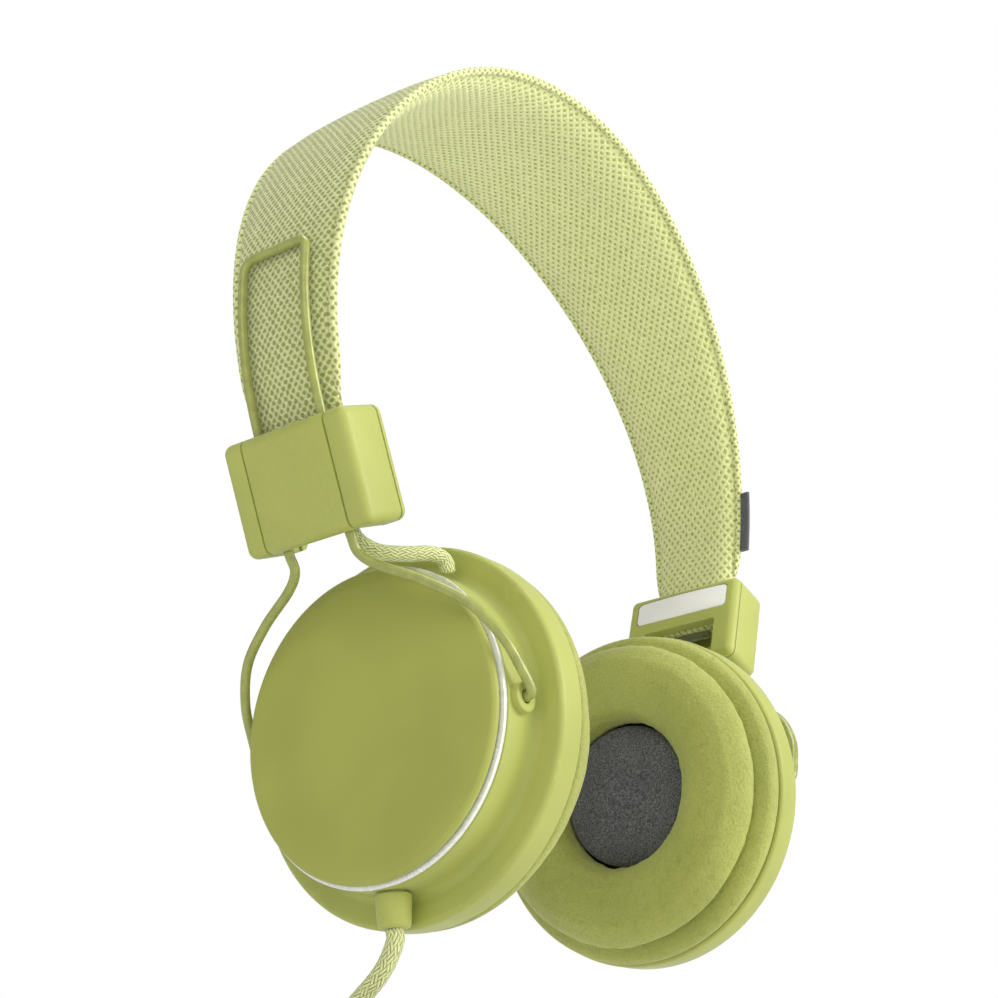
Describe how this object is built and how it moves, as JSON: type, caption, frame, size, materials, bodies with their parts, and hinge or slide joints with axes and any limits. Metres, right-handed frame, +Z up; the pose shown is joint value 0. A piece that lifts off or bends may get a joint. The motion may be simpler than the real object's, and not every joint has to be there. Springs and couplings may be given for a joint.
{
  "type": "on-ear headphones",
  "caption": "Folding on-ear headphones: fabric headband, wire sliders and box hinges, bent wire yokes, round padded ear cups, one braided cord on a plug",
  "frame": {"origin": "underside of the headband's crest, where the head carries it", "axes": "+X from the left cup to the right cup, +Y from front to back (the side tag is at the front), +Z up"},
  "size_m": [0.1586, 0.072, 0.2903],
  "materials": {
    "fabric": "woven mesh over soft padding",
    "foam": "open foam",
    "spring_steel": "rolled strip",
    "tag_fabric": "woven tape",
    "wire": "satin paint",
    "lime_plastic": "soft-touch moulded",
    "cap_plastic": "soft-touch moulded",
    "label_white": "plain, no marking",
    "dark_plastic": "moulded",
    "trim_metal": "bright turned",
    "driver_metal": "plated",
    "driver_cloth": "fine woven cloth",
    "cushion_foam": "soft synthetic leather over foam",
    "braid": "braided sleeve",
    "plug_metal": "plated contacts"
  },
  "bodies": {
    "headband": {"headband_cover": "fabric", "headband_pad": "foam", "headband_spring": "spring_steel", "headband_piping_front": "fabric", "headband_piping_back": "fabric", "side_tag": "tag_fabric"},
    "left_slider": {"left_frame": "wire", "left_box_cover": "lime_plastic", "left_box_cheek_front": "lime_plastic", "left_box_cheek_back": "lime_plastic", "left_inner_plate": "lime_plastic", "left_label_plate": "label_white", "left_hinge_block": "dark_plastic", "left_lead": "braid"},
    "left_yoke": {"left_yoke_wire": "wire"},
    "left_cup": {"left_cap": "cap_plastic", "left_trim_ring": "trim_metal", "left_shell": "lime_plastic", "left_collar_front": "lime_plastic", "left_collar_back": "lime_plastic", "left_baffle": "dark_plastic", "left_driver": "driver_metal", "left_driver_cloth": "driver_cloth", "left_cushion": "cushion_foam", "strain_relief": "lime_plastic"},
    "cord": {"main_cord": "braid", "cord_coil": "braid", "cord_tie": "dark_plastic", "cord_tail": "braid", "plug_grip": "lime_plastic", "plug_jack": "plug_metal"},
    "right_slider": {"right_frame": "wire", "right_box_cover": "lime_plastic", "right_box_cheek_front": "lime_plastic", "right_box_cheek_back": "lime_plastic", "right_inner_plate": "lime_plastic", "right_label_plate": "label_white", "right_hinge_block": "dark_plastic", "right_lead": "braid"},
    "right_yoke": {"right_yoke_wire": "wire"},
    "right_cup": {"right_cap": "cap_plastic", "right_trim_ring": "trim_metal", "right_shell": "lime_plastic", "right_collar_front": "lime_plastic", "right_collar_back": "lime_plastic", "right_baffle": "dark_plastic", "right_driver": "driver_metal", "right_driver_cloth": "driver_cloth", "right_cushion": "cushion_foam"}
  },
  "joints": [
    {"name": "left_slide", "type": "hinge", "parent": "headband", "child": "left_slider", "pos_m": [-0.00632, 0, -0.0688], "axis": [0, -1, 0], "range_deg": [0, 9.96]},
    {"name": "left_fold", "type": "hinge", "parent": "left_slider", "child": "left_yoke", "pos_m": [-0.06728, 0, -0.11054], "axis": [0, -1, 0], "range_deg": [0, 90], "deforming": ["left_lead"]},
    {"name": "left_tilt", "type": "hinge", "parent": "left_yoke", "child": "left_cup", "pos_m": [-0.0475, 0, -0.1463], "axis": [0, 1, 0], "range_deg": [-12, 12]},
    {"name": "right_slide", "type": "hinge", "parent": "headband", "child": "right_slider", "pos_m": [0.00632, 0, -0.0688], "axis": [0, -1, 0], "range_deg": [-9.96, 0]},
    {"name": "right_fold", "type": "hinge", "parent": "right_slider", "child": "right_yoke", "pos_m": [0.06728, 0, -0.11054], "axis": [0, -1, 0], "range_deg": [-90, 0], "deforming": ["right_lead"]},
    {"name": "right_tilt", "type": "hinge", "parent": "right_yoke", "child": "right_cup", "pos_m": [0.0475, 0, -0.1463], "axis": [0, 1, 0], "range_deg": [-12, 12]},
    {"name": "cord_swing", "type": "hinge", "parent": "left_cup", "child": "cord", "pos_m": [-0.0475, 0, -0.1826], "axis": [0, -1, 0], "range_deg": [-90, 0], "deforming": ["main_cord"]}
  ],
  "couplings": [
    {"joint": "cord_swing", "follows": "left_fold", "ratio": -1}
  ]
}
